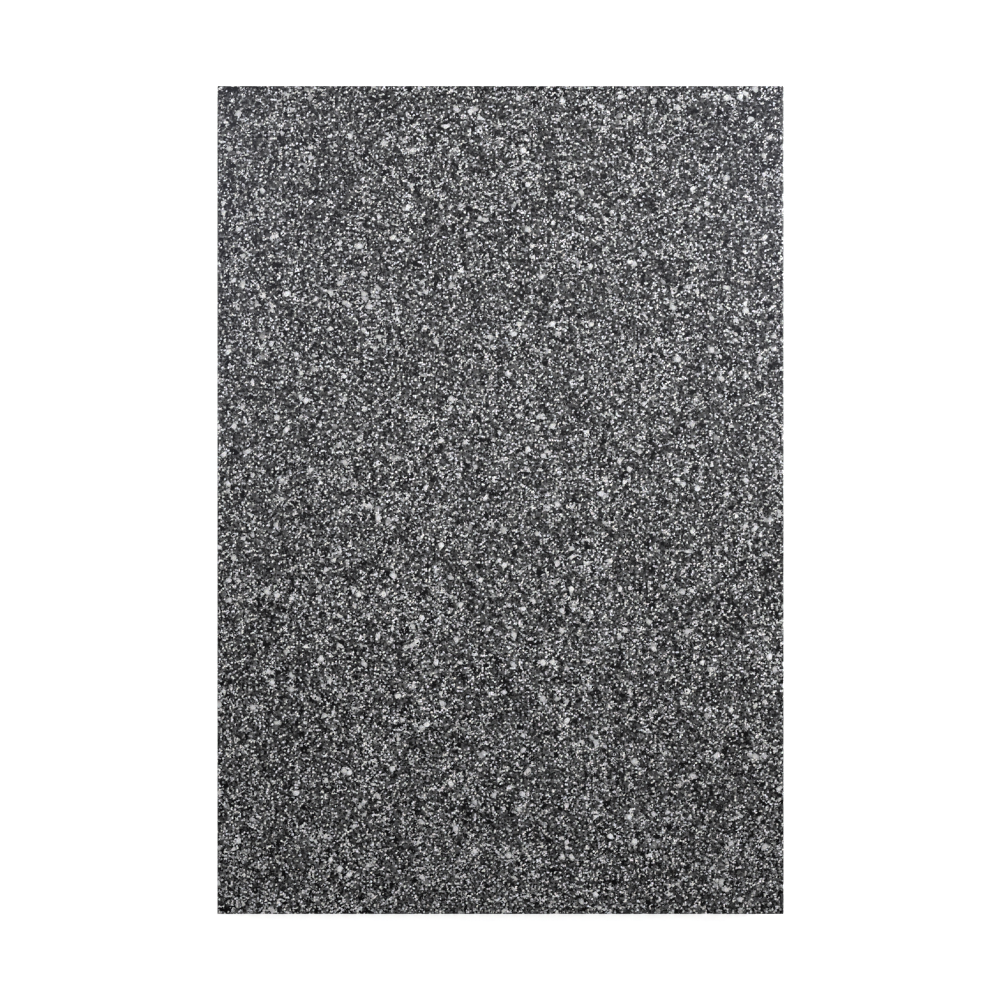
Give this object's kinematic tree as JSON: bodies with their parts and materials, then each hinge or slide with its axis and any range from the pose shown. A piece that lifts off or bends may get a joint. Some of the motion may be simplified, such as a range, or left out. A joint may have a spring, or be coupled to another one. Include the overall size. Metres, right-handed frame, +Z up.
{
  "type": "granite slab",
  "caption": "Rectangular granite slab with a polished face, just-broken edges and stick-on rubber feet: a hard, heavy base for stamping leather.",
  "frame": {"origin": "on the floor plane, under the middle of the slab", "axes": "+X across the slab, +Y along it, +Z up, out of the polished work surface"},
  "size_m": [0.305, 0.446, 0.0346],
  "materials": {
    "granite": "polished",
    "foam_tape": "matte",
    "rubber": "matte"
  },
  "bodies": {
    "root": {"granite_slab": "granite", "adhesive_disc_front_left": "foam_tape", "adhesive_disc_front_right": "foam_tape", "adhesive_disc_back_left": "foam_tape", "adhesive_disc_back_right": "foam_tape", "rubber_foot_front_left": "rubber", "rubber_foot_front_right": "rubber", "rubber_foot_back_left": "rubber", "rubber_foot_back_right": "rubber"}
  },
  "joints": []
}
